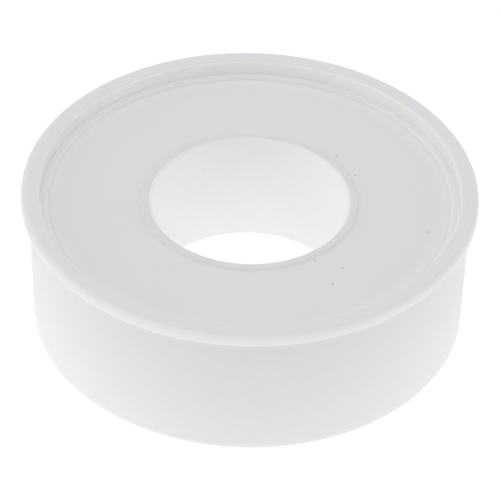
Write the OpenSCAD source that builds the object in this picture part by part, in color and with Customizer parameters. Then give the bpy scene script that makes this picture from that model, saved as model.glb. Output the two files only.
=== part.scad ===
// Thread seal tape roll: a spool of wound tape in a round cover.
// Millimetres, +Z up. The origin is the middle of the ring that the cover stands on.

/* [Tape] */
// Width of the tape
tape_w = 12; // [9:0.5:25]
// Thickness of the tape
tape_t = 0.075; // [0.05:0.005:0.12]
// Length of tape on the roll, in metres
tape_len = 12; // [5:0.5:20]
// Arc of the last turn, from where it leaves the wound body to its free end, in degrees
tail_arc = 325; // [250:5:350]
// Stretch of the last turn that springs away from the wound body, in degrees
tail_spring_arc = 40; // [15:5:70]
// How far the free end stands off the wound body
tail_lift = 1.3; // [0.6:0.1:2.2]

/* [Spool] */
// Diameter of the bore through the hub
bore_d = 23.2; // [16:0.2:40]
// Wall of the hub
hub_t = 1.3; // [1.1:0.1:2]
// Wall of the nose that goes through the floor of the cover
nose_t = 0.8; // [0.6:0.05:1]
// Thickness of the disc inside its borders
web_t = 0.9; // [0.7:0.1:2]
// Depth of the shallow recess in the disc
face_depth = 0.2; // [0.1:0.05:0.6]
// Width of the raised border at the edge of the disc
edge_border_w = 1; // [0.6:0.05:2]
// Width of the raised border round the bore
bore_border_w = 1; // [0.7:0.05:2]
// Rounding of the bore's upper edge
bore_round = 0.45; // [0.2:0.05:0.6]

/* [Cover] */
// Free room between the full roll of tape and the wall
tape_room = 3.1; // [2.5:0.1:6]
// Wall of the cover
wall_t = 1.3; // [0.8:0.05:2]
// How much the wall draws in from the lip down to the foot
wall_taper = 0.35; // [0.1:0.05:0.8]
// How far the lip stands out from the wall
lip_reach = 0.9; // [0.5:0.05:2]
// Height of the lip's outer edge
lip_h = 1.6; // [1.2:0.1:3]
// Rounding of the lip's outer upper edge
lip_round = 0.7; // [0.3:0.05:0.8]
// Rounding of the mouth's inner edge
mouth_round = 0.4; // [0.2:0.05:0.6]
// Thickness of the floor
floor_t = 0.9; // [0.7:0.1:2]
// Height of the floor's underside above the foot
floor_recess = 2.1; // [1:0.1:4]
// Width of the ring that the cover stands on
foot_w = 1.9; // [1.2:0.1:3]
// Rounding of the foot's outer edge
foot_round = 1.1; // [0.2:0.05:1.5]
// Depth of the disc's edge below the top of the lip
disc_recess = 1.9; // [0.8:0.1:4]

/* [Fits] */
// Radial gap between the disc and the mouth
mouth_gap = 0.05; // [0.05:0.01:0.3]
// Radial gap between the nose and the hole in the floor
nose_gap = 0.08; // [0.05:0.01:0.2]
// Radial gap between the hub and the wound tape
hub_gap = 0.08; // [0.05:0.01:0.2]
// Gap at each edge of the tape
edge_gap = 0.3; // [0.25:0.05:1]
// Gap between the wound body and its last turn
turn_gap = 0.05; // [0.03:0.01:0.1]

/* [Hidden] */
$fn = 128;

// Small edges that every moulding has
small_round = 0.2;
// Least width of the flat on the foot's ring
foot_land = 0.3;
// Overlap of a corner piece with the outline it trims
seam = 0.05;
// Steps that the last turn's outline is drawn in, in degrees
tail_step = 2.5;
mm_per_m = 1000;

// Heights, from the foot upwards
floor_top = floor_recess + floor_t;
tape_z = floor_top + edge_gap;
web_z = tape_z + tape_w + edge_gap;
face_z = web_z + web_t;
disc_top = face_z + face_depth;
roll_h = disc_top + disc_recess;
lip_z = roll_h - lip_h;
// The inside of the wall widens from above its fillet up to the lip
taper_z = floor_top + small_round;

// Radii, from the bore outwards
bore_r = bore_d / 2;
nose_r = bore_r + nose_t;
hole_r = nose_r + nose_gap;
hub_r = bore_r + hub_t;
pack_in_r = hub_r + hub_gap;
pack_r = sqrt(pow(pack_in_r, 2) + tape_len * mm_per_m * tape_t / PI);
wall_in_r = pack_r + tape_room;
mouth_r = wall_in_r + wall_taper;
foot_r = wall_in_r + wall_t;
foot_in_r = foot_r - foot_w;
wall_r = mouth_r + wall_t;
lip_r = wall_r + lip_reach;
// The disc clears the tapered wall at the height of its lower edge
disc_r = mouth_r - wall_taper * max(0, lip_z - web_z) / (lip_z - taper_z) - mouth_gap;
// The foot's rounding leaves the flat of a narrow ring whole
foot_arc = min(foot_round, foot_w - small_round - foot_land);

// The square corner at p less its inscribed arc: it rounds a corner that it is taken from,
// and fillets one that it is added to. turn is the way that the arc's centre lies.
module corner(p, turn, r)
    translate(p) rotate(turn) difference() {
        translate([-seam, -seam]) square(r + seam);
        translate([r, r]) circle(r);
    }

// Half section of the cover, x outwards and y up
module cover_section() {
    difference() {
        polygon([
            [foot_in_r, 0], [foot_r, 0], [foot_r, foot_arc],
            [wall_r, lip_z - small_round], [wall_r, lip_z], [lip_r, lip_z], [lip_r, roll_h],
            [mouth_r, roll_h], [mouth_r, lip_z], [wall_in_r, taper_z], [wall_in_r, floor_top],
            [hole_r, floor_top], [hole_r, floor_recess], [foot_in_r, floor_recess]
        ]);
        corner([foot_r, 0], 90, foot_arc);
        corner([foot_in_r, 0], 0, small_round);
        corner([lip_r, lip_z], 90, small_round);
        corner([lip_r, roll_h], 180, lip_round);
        corner([mouth_r, roll_h], 270, mouth_round);
    }
    corner([wall_r, lip_z], 270, small_round);
    corner([wall_in_r, floor_top], 90, small_round);
    corner([foot_in_r, floor_recess], 180, small_round);
}

// Half section of the spool
module spool_section() {
    difference() {
        polygon([
            [bore_r, floor_recess], [nose_r, floor_recess], [nose_r, floor_top],
            [hub_r, floor_top], [hub_r, web_z], [disc_r, web_z],
            [disc_r, disc_top], [disc_r - edge_border_w, disc_top], [disc_r - edge_border_w, face_z],
            [bore_r + bore_border_w, face_z], [bore_r + bore_border_w, disc_top], [bore_r, disc_top]
        ]);
        corner([bore_r, disc_top], 270, bore_round);
        corner([bore_r, floor_recess], 0, small_round);
        corner([disc_r, disc_top], 180, small_round);
        corner([disc_r, web_z], 90, small_round);
    }
    corner([hub_r, web_z], 270, small_round);
}

// How far the last turn stands off the wound body at an angle along it
function tail_stand(a) =
    turn_gap + tail_lift * pow(max(0, (a - tail_arc + tail_spring_arc) / tail_spring_arc), 2);

function at_angle(r, a) = [r * cos(a), r * sin(a)];

tail_angles = [for (a = [0 : tail_step : tail_arc]) a];
tail_inner = [for (a = tail_angles) at_angle(pack_r + tail_stand(a), a)];
tail_outer = [for (a = tail_angles) at_angle(pack_r + tail_stand(a) + tape_t, a)];

// The last turn comes nearest to itself where its free end faces its start
echo(least_gap_of_last_turn = norm(tail_inner[0] - tail_inner[len(tail_inner) - 1]));

module cover()
    color("whitesmoke") rotate_extrude() cover_section();

module spool()
    color("gainsboro") rotate_extrude() spool_section();

module tape_pack()
    color("white") translate([0, 0, tape_z]) difference() {
        cylinder(r = pack_r, h = tape_w);
        translate([0, 0, -seam]) cylinder(r = pack_in_r, h = tape_w + 2 * seam);
    }

module tape_tail()
    color("white") translate([0, 0, tape_z]) linear_extrude(tape_w)
        polygon(concat(tail_inner, [for (i = [len(tail_outer) - 1 : -1 : 0]) tail_outer[i]]));

cover();
spool();
tape_pack();
tape_tail();
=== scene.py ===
# %% [markdown]
# A roll of thread seal tape, as it comes from a plumber's bag: a white cover shaped like a
# shallow cup, a white spool that drops into it, and one soft strip of tape wound on the spool.
# The CAD model already fixes every size and every joint. This file dresses it: smooth round
# mouldings, a strip that is really wound, the finishes, the light and the camera.

import math

import bmesh
import bpy
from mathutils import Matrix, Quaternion, Vector


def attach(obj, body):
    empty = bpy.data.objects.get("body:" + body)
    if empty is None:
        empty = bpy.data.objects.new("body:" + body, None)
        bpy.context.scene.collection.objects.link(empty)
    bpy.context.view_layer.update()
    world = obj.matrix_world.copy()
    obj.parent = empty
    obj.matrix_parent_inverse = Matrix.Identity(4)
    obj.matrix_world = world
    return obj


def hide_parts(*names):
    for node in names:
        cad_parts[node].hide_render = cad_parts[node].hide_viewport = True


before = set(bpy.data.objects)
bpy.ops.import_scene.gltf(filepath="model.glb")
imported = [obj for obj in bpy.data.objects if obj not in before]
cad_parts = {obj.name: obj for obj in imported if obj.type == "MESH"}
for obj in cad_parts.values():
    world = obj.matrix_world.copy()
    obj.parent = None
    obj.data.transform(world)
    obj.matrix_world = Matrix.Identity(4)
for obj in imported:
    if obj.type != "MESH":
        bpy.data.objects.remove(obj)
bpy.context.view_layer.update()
scene = bpy.context.scene
scene.view_settings.view_transform = "Standard"

# %% [markdown]
# The photograph was taken from the front and well above, with a long lens: the round lip looks
# like an ellipse whose near and far halves are almost the same. So the camera stands 0.45 m away
# with a lens of 268 mm, and it leans a little, because the lip's long axis falls to the right.

# %% Camera
eye = Vector((0.0, -0.3428, 0.2915))
aim = Vector((0.00017, 0.0, 0.009))
lean = math.radians(1.28)
lens = bpy.data.cameras.new("camera")
lens.sensor_width = 36.0
lens.lens = 268.0
camera = bpy.data.objects.new("camera", lens)
scene.collection.objects.link(camera)
camera.location = eye
camera.rotation_mode = "QUATERNION"
camera.rotation_quaternion = (aim - eye).to_track_quat("-Z", "Y") @ Quaternion((0, 0, 1), lean)
scene.camera = camera
print("camera", round((aim - eye).length, 4), "m away, lens", lens.lens, "mm")

# %% [markdown]
# Both mouldings are round about one axis, as anything turned or drawn from a round mould is. A
# cylinder with loops cut into it could be pushed into shape, but a lathe is the shorter way: draw
# half of the section as a flat face, round its corners with bevel, and spin its outline once
# round. A weighted normal keeps the flats flat next to their small roundings.

# %% The lathe
mm = 0.001
turn_steps = 288


def turned(name, section, segments=6):
    """A ring from corners of (radius, height, rounding) in millimetres, in order."""
    shape = bmesh.new()
    corners = [shape.verts.new((radius * mm, 0.0, height * mm)) for radius, height, _ in section]
    shape.faces.new(corners)
    for corner, (_, _, rounding) in zip(corners, section):
        if rounding:
            bmesh.ops.bevel(
                shape,
                geom=[corner],
                offset=rounding * mm,
                offset_type="OFFSET",
                affect="VERTICES",
                segments=segments,
                profile=0.5,
                material=-1,
                clamp_overlap=False,
            )
    bmesh.ops.delete(shape, geom=shape.faces[:], context="FACES_ONLY")
    bmesh.ops.spin(
        shape,
        geom=shape.verts[:] + shape.edges[:],
        cent=(0, 0, 0),
        axis=(0, 0, 1),
        angle=2 * math.pi,
        steps=turn_steps,
        use_merge=True,
    )
    bmesh.ops.remove_doubles(shape, verts=shape.verts[:], dist=1e-7)
    bmesh.ops.recalc_face_normals(shape, faces=shape.faces[:])
    piece = finished(name, shape)
    even = piece.modifiers.new("even normals", "WEIGHTED_NORMAL")
    even.weight = 50
    return piece


def finished(name, shape):
    """The bmesh as an object at the origin, shaded smooth."""
    for face in shape.faces:
        face.smooth = True
    mesh = bpy.data.meshes.new(name)
    shape.to_mesh(mesh)
    shape.free()
    piece = bpy.data.objects.new(name, mesh)
    scene.collection.objects.link(piece)
    print(name, "has", len(mesh.polygons), "faces")
    return piece


# %% [markdown]
# The cover is the cup. Its wall draws in a little towards the foot so that it leaves the mould,
# the lip stands out round the mouth where the fingers pull, and the floor sits up inside the foot
# so that only a thin ring meets the bench. The lip's outer edge has the largest rounding: that
# rounding, with a highlight painted into its colour, is the bright line along the near side.

# %% Cover
roll_height = 18.6
lip_under = 17.0
lip_r = 26.98
wall_r = 26.08
mouth_r = 24.78
foot_r = 25.73
wall_in_r = 24.43
foot_in_r = 23.83
hole_r = 12.48
floor_under = 2.1
floor_top = 3.0

cover = turned(
    "cover_moulding",
    [
        (foot_in_r, 0.0, 0.2),
        (foot_r, 0.0, 1.1),
        (wall_r, lip_under, 0.5),
        (lip_r, lip_under, 0.35),
        (lip_r, roll_height, 0.7),
        (mouth_r, roll_height, 0.4),
        (mouth_r, lip_under, 0.0),
        (wall_in_r, floor_top, 0.2),
        (hole_r, floor_top, 0.06),
        (hole_r, floor_under, 0.06),
        (foot_in_r, floor_under, 0.2),
    ],
)
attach(cover, "cover")
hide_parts("cover")

# %% [markdown]
# The spool is a disc with a tube under it. The disc closes the mouth of the cover, a little below
# the lip, and has a shallow recess between two narrow raised borders, where a label would lie. The
# tube is the hub: the tape is wound on it, and its thin nose passes through the hole in the
# cover's floor, so the bore is open right through the roll.

# %% Spool
bore_r = 11.6
nose_r = 12.4
hub_r = 12.9
web_under = 15.6
face_z = 16.5
disc_top = 16.7
disc_r = 24.765
mouth_ease = 0.03
edge_border = 0.8
bore_border = 1.1
border_slope = 0.2

spool = turned(
    "spool_moulding",
    [
        (bore_r, floor_under, 0.2),
        (nose_r, floor_under, 0.06),
        (nose_r, floor_top, 0.0),
        (hub_r, floor_top, 0.06),
        (hub_r, web_under, 0.2),
        (disc_r - mouth_ease, web_under, 0.2),
        (disc_r, disc_top, 0.02),
        (disc_r - edge_border, disc_top, 0.08),
        (disc_r - edge_border - border_slope, face_z, 0.1),
        (bore_r + bore_border + border_slope, face_z, 0.1),
        (bore_r + bore_border, disc_top, 0.08),
        (bore_r, disc_top, 0.45),
    ],
)
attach(spool, "spool")
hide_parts("spool")

# %% [markdown]
# The tape is one strip, 12 mm wide and about 12 m long, wound on the hub. A plain ring would do
# from a step away, but its edge shows when the spool is lifted out, and there the real thing is
# fine lines that are never quite level. A spiral of half circles gives just that: the near half of
# every turn is an upright edge spun half round about one centre, and the far half is spun about a
# second centre half a pitch away, so each half turn starts where the last one ended.

# %% Wind the tape
tape_low = 3.3
tape_wide = 12.0
tape_thick = 0.075
pack_in_r = 12.98
pack_r = 21.33
turns = math.floor((pack_r - pack_in_r) / tape_thick) - 1
first_r = pack_in_r + tape_thick / 2
last_r = first_r + turns * tape_thick
strip = bmesh.new()


def upright(x):
    """An edge as tall as the tape is wide, standing at x."""
    low = strip.verts.new((x * mm, 0.0, tape_low * mm))
    high = strip.verts.new((x * mm, 0.0, (tape_low + tape_wide) * mm))
    return [low, high, strip.edges.new((low, high))]


def wind(edges, centre, degrees, steps):
    bmesh.ops.spin(
        strip,
        geom=edges,
        cent=(centre * mm, 0, 0),
        axis=(0, 0, 1),
        angle=math.radians(degrees),
        steps=steps,
    )


starts = [first_r + turn * tape_thick for turn in range(turns)]
wind([part for x in starts for part in upright(x)], 0.0, 180, 44)
wind([part for x in starts for part in upright(-x)], tape_thick / 2, 180, 44)
print("wound", turns, "turns, out to", round(last_r, 2), "mm")

# %% [markdown]
# The last turn isn't held by another turn over it, so its end springs away from the roll. It is
# spun on from the end of the winding, and then each point moves outwards: by the usual growth of
# the spiral first, and over the last 40 degrees by a spring that grows as the square of the way.
# Merging the doubles then joins all the half turns into one strip.

# %% The free end
tail_arc = 325.0
spring_arc = 40.0
tail_lift = 1.3

held = set(strip.verts)
wind(upright(last_r), 0.0, tail_arc, 130)
for point in set(strip.verts) - held:
    along = math.degrees(math.atan2(point.co.y, point.co.x)) % 360.0
    spring = max(0.0, (along - tail_arc + spring_arc) / spring_arc)
    out = tape_thick * along / 360.0 + tail_lift * spring**2
    point.co += Vector((point.co.x, point.co.y, 0.0)).normalized() * out * mm
bmesh.ops.remove_doubles(strip, verts=strip.verts[:], dist=1e-6)
bmesh.ops.recalc_face_normals(strip, faces=strip.faces[:])

# %% [markdown]
# A machine never lays each turn quite level with the one before. Each turn moves up or down by a
# few hundredths of a millimetre, on slow and quick waves that never repeat. Then the strip gets
# its thickness, a little under the pitch, so that the turns stay apart, and its cut edges are
# marked sharp, so that they look crisp.

# %% Uneven edges and thickness
uneven = 0.045
film_thick = 0.066

for point in strip.verts:
    turn = (Vector((point.co.x, point.co.y)).length / mm - pack_in_r) / tape_thick
    wander = math.sin(turn * 1.9) + 0.7 * math.sin(turn * 0.37 + 1.0) + 0.5 * math.sin(turn * 4.7)
    point.co.z += uneven * wander * mm
for edge in strip.edges:
    edge.smooth = not edge.is_boundary
tape = finished("wound_tape", strip)
film = tape.modifiers.new("film", "SOLIDIFY")
film.thickness = film_thick * mm
film.offset = 0.0
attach(tape, "tape")
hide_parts("tape_pack", "tape_tail")
print("film of", film_thick, "mm, wandering by", uneven, "mm")

# %% [markdown]
# Finishes are built from nodes. Adding and linking each one by hand hides the idea, so one small
# class carries a socket, and Python's own signs do the maths: 1 - mask adds a Math node that
# subtracts. Every other node comes from its method called node.

# %% A socket with maths
class Wire:
    """A value, colour or vector on its way through a node tree."""

    def __init__(self, tree, socket=None):
        self.tree = tree
        self.socket = socket

    def node(self, kind, settings=None, sockets=None, out=0):
        made = self.tree.nodes.new(kind)
        for name, value in (settings or {}).items():
            setattr(made, name, value)
        for key, value in (sockets or {}).items():
            if isinstance(value, Wire):
                self.tree.links.new(value.socket, made.inputs[key])
            else:
                made.inputs[key].default_value = value
        return Wire(self.tree, made.outputs[out] if len(made.outputs) else None)

    def maths(self, operation, first, second):
        return self.node("ShaderNodeMath", {"operation": operation}, {0: first, 1: second})

    def vector(self, operation, sockets, out=0):
        return self.node("ShaderNodeVectorMath", {"operation": operation}, sockets, out)

    def __add__(self, other):
        return self.maths("ADD", self, other)

    def __radd__(self, other):
        return self.maths("ADD", other, self)

    def __sub__(self, other):
        return self.maths("SUBTRACT", self, other)

    def __rsub__(self, other):
        return self.maths("SUBTRACT", other, self)

    def __mul__(self, other):
        if isinstance(other, tuple):
            return self.vector("MULTIPLY", {0: self, 1: other})
        return self.maths("MULTIPLY", self, other)

    def __rmul__(self, other):
        return self.maths("MULTIPLY", other, self)

    def __pow__(self, other):
        return self.maths("POWER", self, other)

    def step(self, start, end):
        """0 before start and 1 after end, with a soft change between."""
        return self.node(
            "ShaderNodeMapRange",
            {"interpolation_type": "SMOOTHSTEP"},
            {0: self, 1: start, 2: end, 3: 0.0, 4: 1.0},
        )

    def blend(self, first, second):
        """The colour first where this is 0, and second where it is 1."""
        return self.node(
            "ShaderNodeMix",
            {"data_type": "RGBA", "clamp_factor": True},
            {0: self, 6: first, 7: second},
            out=2,
        )


# %% [markdown]
# White moulded plastic is never one flat white. Under a lens it has a fine grain from the mould,
# slow clouds where the melt cooled unevenly, and a sheen that changes with both. Those are noise
# at two sizes. The points come in millimetres, so each size can be written as it is measured.

# %% Points, noise and shader
def points(piece):
    """A new empty finish on the piece, and its points in millimetres."""
    made = bpy.data.materials.new(piece.name)
    made.use_nodes = True
    made.node_tree.nodes.clear()
    piece.data.materials.append(made)
    place = Wire(made.node_tree).node("ShaderNodeTexCoord", out="Object")
    return place.vector("SCALE", {0: place, "Scale": 1 / mm})


def part(place, name):
    return place.node("ShaderNodeSeparateXYZ", {}, {0: place}, out=name)


def from_middle(place):
    return place.vector("LENGTH", {0: place}, out="Value")


def from_axis(place):
    return from_middle(place * (1, 1, 0))


def noise(place, scale, detail=3.0):
    return place.node("ShaderNodeTexNoise", {}, {"Vector": place, "Scale": scale, "Detail": detail})


def spot(place, centre, size):
    """1 at the centre, and 0 from size on."""
    away = place.vector("DISTANCE", {0: place, 1: centre}, out="Value")
    return 1 - away.step(0.3 * size, size)


def marks(place, centres_and_sizes):
    """All the spots of a list in one mask."""
    spots = [spot(place, centre, size) for centre, size in centres_and_sizes]
    return sum(spots[1:], spots[0])


def shade(piece, colour, roughness, height, depth, soft):
    """The finish itself: depth is the bump's and soft is how far light spreads, in millimetres."""
    bump = colour.node("ShaderNodeBump", {}, {"Distance": depth * mm, "Height": height})
    shader = colour.node(
        "ShaderNodeBsdfPrincipled",
        {},
        {
            "Base Color": colour,
            "Roughness": roughness,
            "Normal": bump,
            "Subsurface Weight": 0.4,
            "Subsurface Radius": (1.0, 1.0, 1.0),
            "Subsurface Scale": soft * mm,
        },
    )
    colour.node("ShaderNodeOutputMaterial", {}, {"Surface": shader})
    print(piece.name, "finish has", len(colour.tree.nodes), "nodes")


# %% [markdown]
# Both mouldings share a few whites. White is the plastic, and lilac is the overhead light's faint
# tint painted into it. Grey is for clouds and smudges, and for painted shade round the bore and
# along the foot of a border. Cream is painted light in the thin wall of the mouth, and pale is
# painted light: a highlight on the lip, and lighter plastic under the lip and at the disc's edge.
# Naming them once keeps the two finishes in step.

# %% Whites
white = (0.79, 0.79, 0.79, 1.0)
# lilac: the overhead light's faint tint, painted into the plastic's colour
overhead_lilac = (0.8, 0.784, 0.799, 1.0)
# grey: for clouds and smudges, and for painted shade on the spool
cloud_and_shade_grey = (0.7, 0.695, 0.7, 1.0)
# cream: painted light that whitens the mouth's thin wall
mouth_painted_light = (0.98, 0.975, 0.955, 1.0)
# pale: painted light, for the lip's highlight and the plastic under the lip and at the disc's edge
painted_light_pale = (0.9, 0.9, 0.9, 1.0)
print("whites from", cloud_and_shade_grey[0], "to", mouth_painted_light[0])

# %% [markdown]
# Where each white goes on the cover depends on the distance from the axis and the height, so each
# place is a mask made from those two. The painted highlight on the lip and the painted light in the
# mouth and under the lip are strongest at the front and the back, so one more mask fades them
# towards the two sides.

# %% Where the cover changes
place = points(cover)
height = part(place, "Z")
radius = from_axis(place)
# Painted light: the mouth's thin wall is made whiter in colour.
lit_inside = 1 - radius.step(mouth_r + 0.06, mouth_r + 0.2)
outside = radius.step(mouth_r + 0.6, mouth_r + 1.0)
# Painted highlight: the lip's outer rounding is made lighter in colour, and smoother.
lip_highlight = radius.step(lip_r - 0.5, lip_r - 0.1)
# Painted light on the wall just under the lip, where its shade falls.
under_lip_light = height.step(lip_under - 1.4, lip_under - 0.3) - height.step(lip_under, lip_under + 0.4)
top = height.step(roll_height - 0.4, roll_height - 0.2)
# Fades the painted light and highlight from the front and back towards the two sides.
front_and_back = 1 - 0.0011 * part(place, "X") ** 2
print("cover masks take", len(place.tree.nodes), "nodes")

# %% [markdown]
# The cover is a shade greyer on the outside than in its mouth, where light is painted in. The lip's
# rounding has a painted highlight and is smoother, and painted light lifts the wall just under the
# lip, where its shade falls. A few faint smudges stay on the wall where the roll was held. They
# could be painted, but three spots in a list, broken up by the grain, take less work.

# %% Cover finish
smudged = (((0.4, -26.0, 13.8), 0.9), ((9.9, -24.1, 11.2), 0.7), ((-14.2, -21.8, 11.4), 0.8))

clouds = noise(place, 0.16, 4.0)
grain = noise(place, 3.5)
smudges = marks(place, smudged)
# The lip's top takes the lilac tint of the overhead light, painted into its colour.
colour = top.blend(white, overhead_lilac)
colour = (front_and_back * lit_inside).blend(colour, mouth_painted_light)
colour = (0.1 * clouds + 0.12 * smudges * grain).blend(colour, cloud_and_shade_grey)
# Painted highlight on the lip's rounding and painted light on the wall under it.
colour = (front_and_back * (0.9 * lip_highlight + 0.4 * under_lip_light * outside)).blend(colour, painted_light_pale)
sheen = 0.42 + 0.1 * clouds + 0.06 * grain - 0.1 * lip_highlight
shade(cover, colour, sheen, grain + 3 * clouds, 0.03, 0.6)

# %% [markdown]
# On the spool's open face dust has settled: a few dark specks, none of them round. Tiny meshes
# would cost far more than they show, so the specks are spots in the finish, and the points are
# pushed about by noise before their distance from each speck is measured.

# %% Specks of dust
specks_at = (
    (10.6, 9.2, 0.34),
    (12.7, 5.6, 0.26),
    (7.9, -10.5, 0.3),
    (10.0, -14.7, 0.34),
    (11.2, -11.7, 0.24),
    (21.2, -4.9, 0.28),
    (20.7, -14.1, 0.24),
    (-18.7, -14.2, 0.26),
)

place = points(spool)
push = place.node("ShaderNodeTexNoise", {}, {"Vector": place, "Scale": 5.0}, out="Color")
pushed = place.vector("MULTIPLY_ADD", {0: push, 1: (0.5, 0.5, 0.0), 2: place})
specks = marks(pushed, [((x, y, face_z), size) for x, y, size in specks_at])
print(len(specks_at), "specks on the disc")

# %% [markdown]
# The spool is the same plastic, with the overhead light's faint lilac tint painted in. Painted light
# whitens the bore, where the hub is thin, and the disc's edge, where the lip's white would shine on
# it. Painted shade darkens a ring round the bore's border and a line along the foot of the edge
# border. Rings like these need only the distance from the axis.

# %% Spool finish
# Painted light for the bore.
bore_painted_light = (0.9, 0.9, 0.9, 1.0)
# Painted light for the disc's edge.
edge_painted_light = (0.86, 0.845, 0.855, 1.0)
speck_grey = (0.3, 0.28, 0.29, 1.0)

radius = from_axis(place)
clouds = noise(place, 0.13, 4.0)
grain = noise(place, 4.0)
# Painted light: the bore is made whiter in colour.
lit_inside = 1 - radius.step(bore_r + 0.2, bore_r + 0.42)
# Painted shade: a grey ring round the bore's raised border.
bore_rim_shade = 1 - radius.step(bore_r + bore_border, bore_r + bore_border + 0.8)
# Painted light over the outer part of the disc, near the lip.
edge = radius.step(disc_r - 3.2, disc_r - 0.5)
foot = disc_r - edge_border - border_slope
# Painted shade: a grey line along the foot of the edge border.
border_foot_shade = radius.step(foot - 0.4, foot) - radius.step(foot, foot + 0.3)
colour = (0.12 * clouds + 0.3 * bore_rim_shade).blend(overhead_lilac, cloud_and_shade_grey)
colour = lit_inside.blend(colour, bore_painted_light)
colour = edge.blend(colour, edge_painted_light)
# Painted light on the disc's outermost edge, in its corner with the mouth.
colour = radius.step(disc_r - 0.35, disc_r - 0.05).blend(colour, painted_light_pale)
colour = (0.35 * border_foot_shade).blend(colour, cloud_and_shade_grey)
colour = (0.3 * specks).blend(colour, speck_grey)
sheen = 0.4 + 0.12 * clouds + 0.08 * grain - 0.06 * bore_rim_shade
shade(spool, colour, sheen, grain + 3 * clouds, 0.03, 0.12)

# %% [markdown]
# Thread seal tape is stretched as it is made, so it is soft, slightly waxy and faintly streaked
# along its length. Noise drawn out round the roll and squeezed across the width gives streaks, and
# a finer noise gives the felt of the film.

# %% Tape finish
tape_white = (0.9, 0.9, 0.9, 1.0)
streak_white = (0.8, 0.8, 0.81, 1.0)

place = points(tape)
streaks = noise(place * (0.05, 0.05, 3.0), 1.0, 4.0)
felt = noise(place, 6.0)
colour = (0.6 * streaks.step(0.3, 0.7) * felt).blend(tape_white, streak_white)
sheen = 0.45 + 0.15 * streaks + 0.05 * felt
shade(tape, colour, sheen, streaks + 0.4 * felt, 0.02, 0.4)

# %% [markdown]
# The roll stands in a white tent, as small things do for a catalogue. The camera and the gloss see
# plain white all round. What lights the roll is softer: most comes from overhead and from a ring
# half way up, and the two sides are brighter, which is why the wall is whitest at its ends.

# %% Light tent
tent_sides = 1.55
tent_left = 0.22
tent_top = 0.62
tent_ring = 0.63

tent = bpy.data.worlds.new("tent")
tent.use_nodes = True
tent.node_tree.nodes.clear()
scene.world = tent


def seen(start):
    """1 for what the camera, a reflection or a clear part shows, and 0 for light on the roll."""
    rays = ("Is Camera Ray", "Is Glossy Ray", "Is Transmission Ray")
    shown = [start.node("ShaderNodeLightPath", out=ray) for ray in rays]
    return start.maths("MAXIMUM", start.maths("MAXIMUM", shown[0], shown[1]), shown[2])


start = Wire(tent.node_tree)
way = start.node("ShaderNodeTexCoord", out="Generated")
above = start.maths("MAXIMUM", part(way, "Z"), 0.0)
left = start.maths("MAXIMUM", -1 * part(way, "X"), 0.0)
glow = tent_sides * (part(way, "X") ** 2) ** 4 + tent_left * left
glow = glow + tent_top * above**2 + tent_ring * 2.6 * (above - above**3)
lit = start.node("ShaderNodeBackground", {}, {"Color": (1, 1, 1, 1), "Strength": glow})
plain = start.node("ShaderNodeBackground", {}, {"Color": (1, 1, 1, 1), "Strength": 1.0})
both = start.node("ShaderNodeMixShader", {}, {0: seen(start), 1: lit, 2: plain})
start.node("ShaderNodeOutputWorld", {}, {"Surface": both})
print("tent of", len(tent.node_tree.nodes), "nodes")

# %% [markdown]
# The floor is a white sheet that glows a little near the roll, as lit paper does, and so lifts the
# foot of the wall and the inside of the bore. Under the roll it glows less. It is matt, and it
# keeps the roll's shadow. From below it is clear, so that the underside can be looked at.

# %% Floor
glow_far = (0.35, 0.35, 0.35, 1.0)
glow_near = (0.85, 0.85, 0.85, 1.0)
glow_under = (0.4, 0.4, 0.4, 1.0)
plain_share = 0.88

sheet = bmesh.new()
bmesh.ops.create_circle(sheet, cap_ends=True, radius=1.5, segments=64)
floor = finished("floor", sheet)
place = points(floor)
away = from_middle(place)
under = away.step(nose_r, hub_r) - away.step(foot_in_r, foot_r)
glow = under.blend(away.step(30.0, 90.0).blend(glow_near, glow_far), glow_under)
matt = place.node("ShaderNodeBsdfDiffuse", {}, {"Color": (0.5, 0.5, 0.5, 1)})
lit = place.node("ShaderNodeEmission", {}, {"Color": glow, "Strength": 1.0})
matt = place.node("ShaderNodeAddShader", {}, {0: matt, 1: lit})
plain = place.node("ShaderNodeEmission", {}, {"Color": (1, 1, 1, 1), "Strength": 1.04})
both = place.node("ShaderNodeMixShader", {}, {0: plain_share * seen(place), 1: matt, 2: plain})
below = place.node("ShaderNodeNewGeometry", out="Backfacing")
clear = place.node("ShaderNodeBsdfTransparent")
both = place.node("ShaderNodeMixShader", {}, {0: below, 1: both, 2: clear})
place.node("ShaderNodeOutputMaterial", {}, {"Surface": both})
print("floor of", len(floor.data.vertices), "corners")
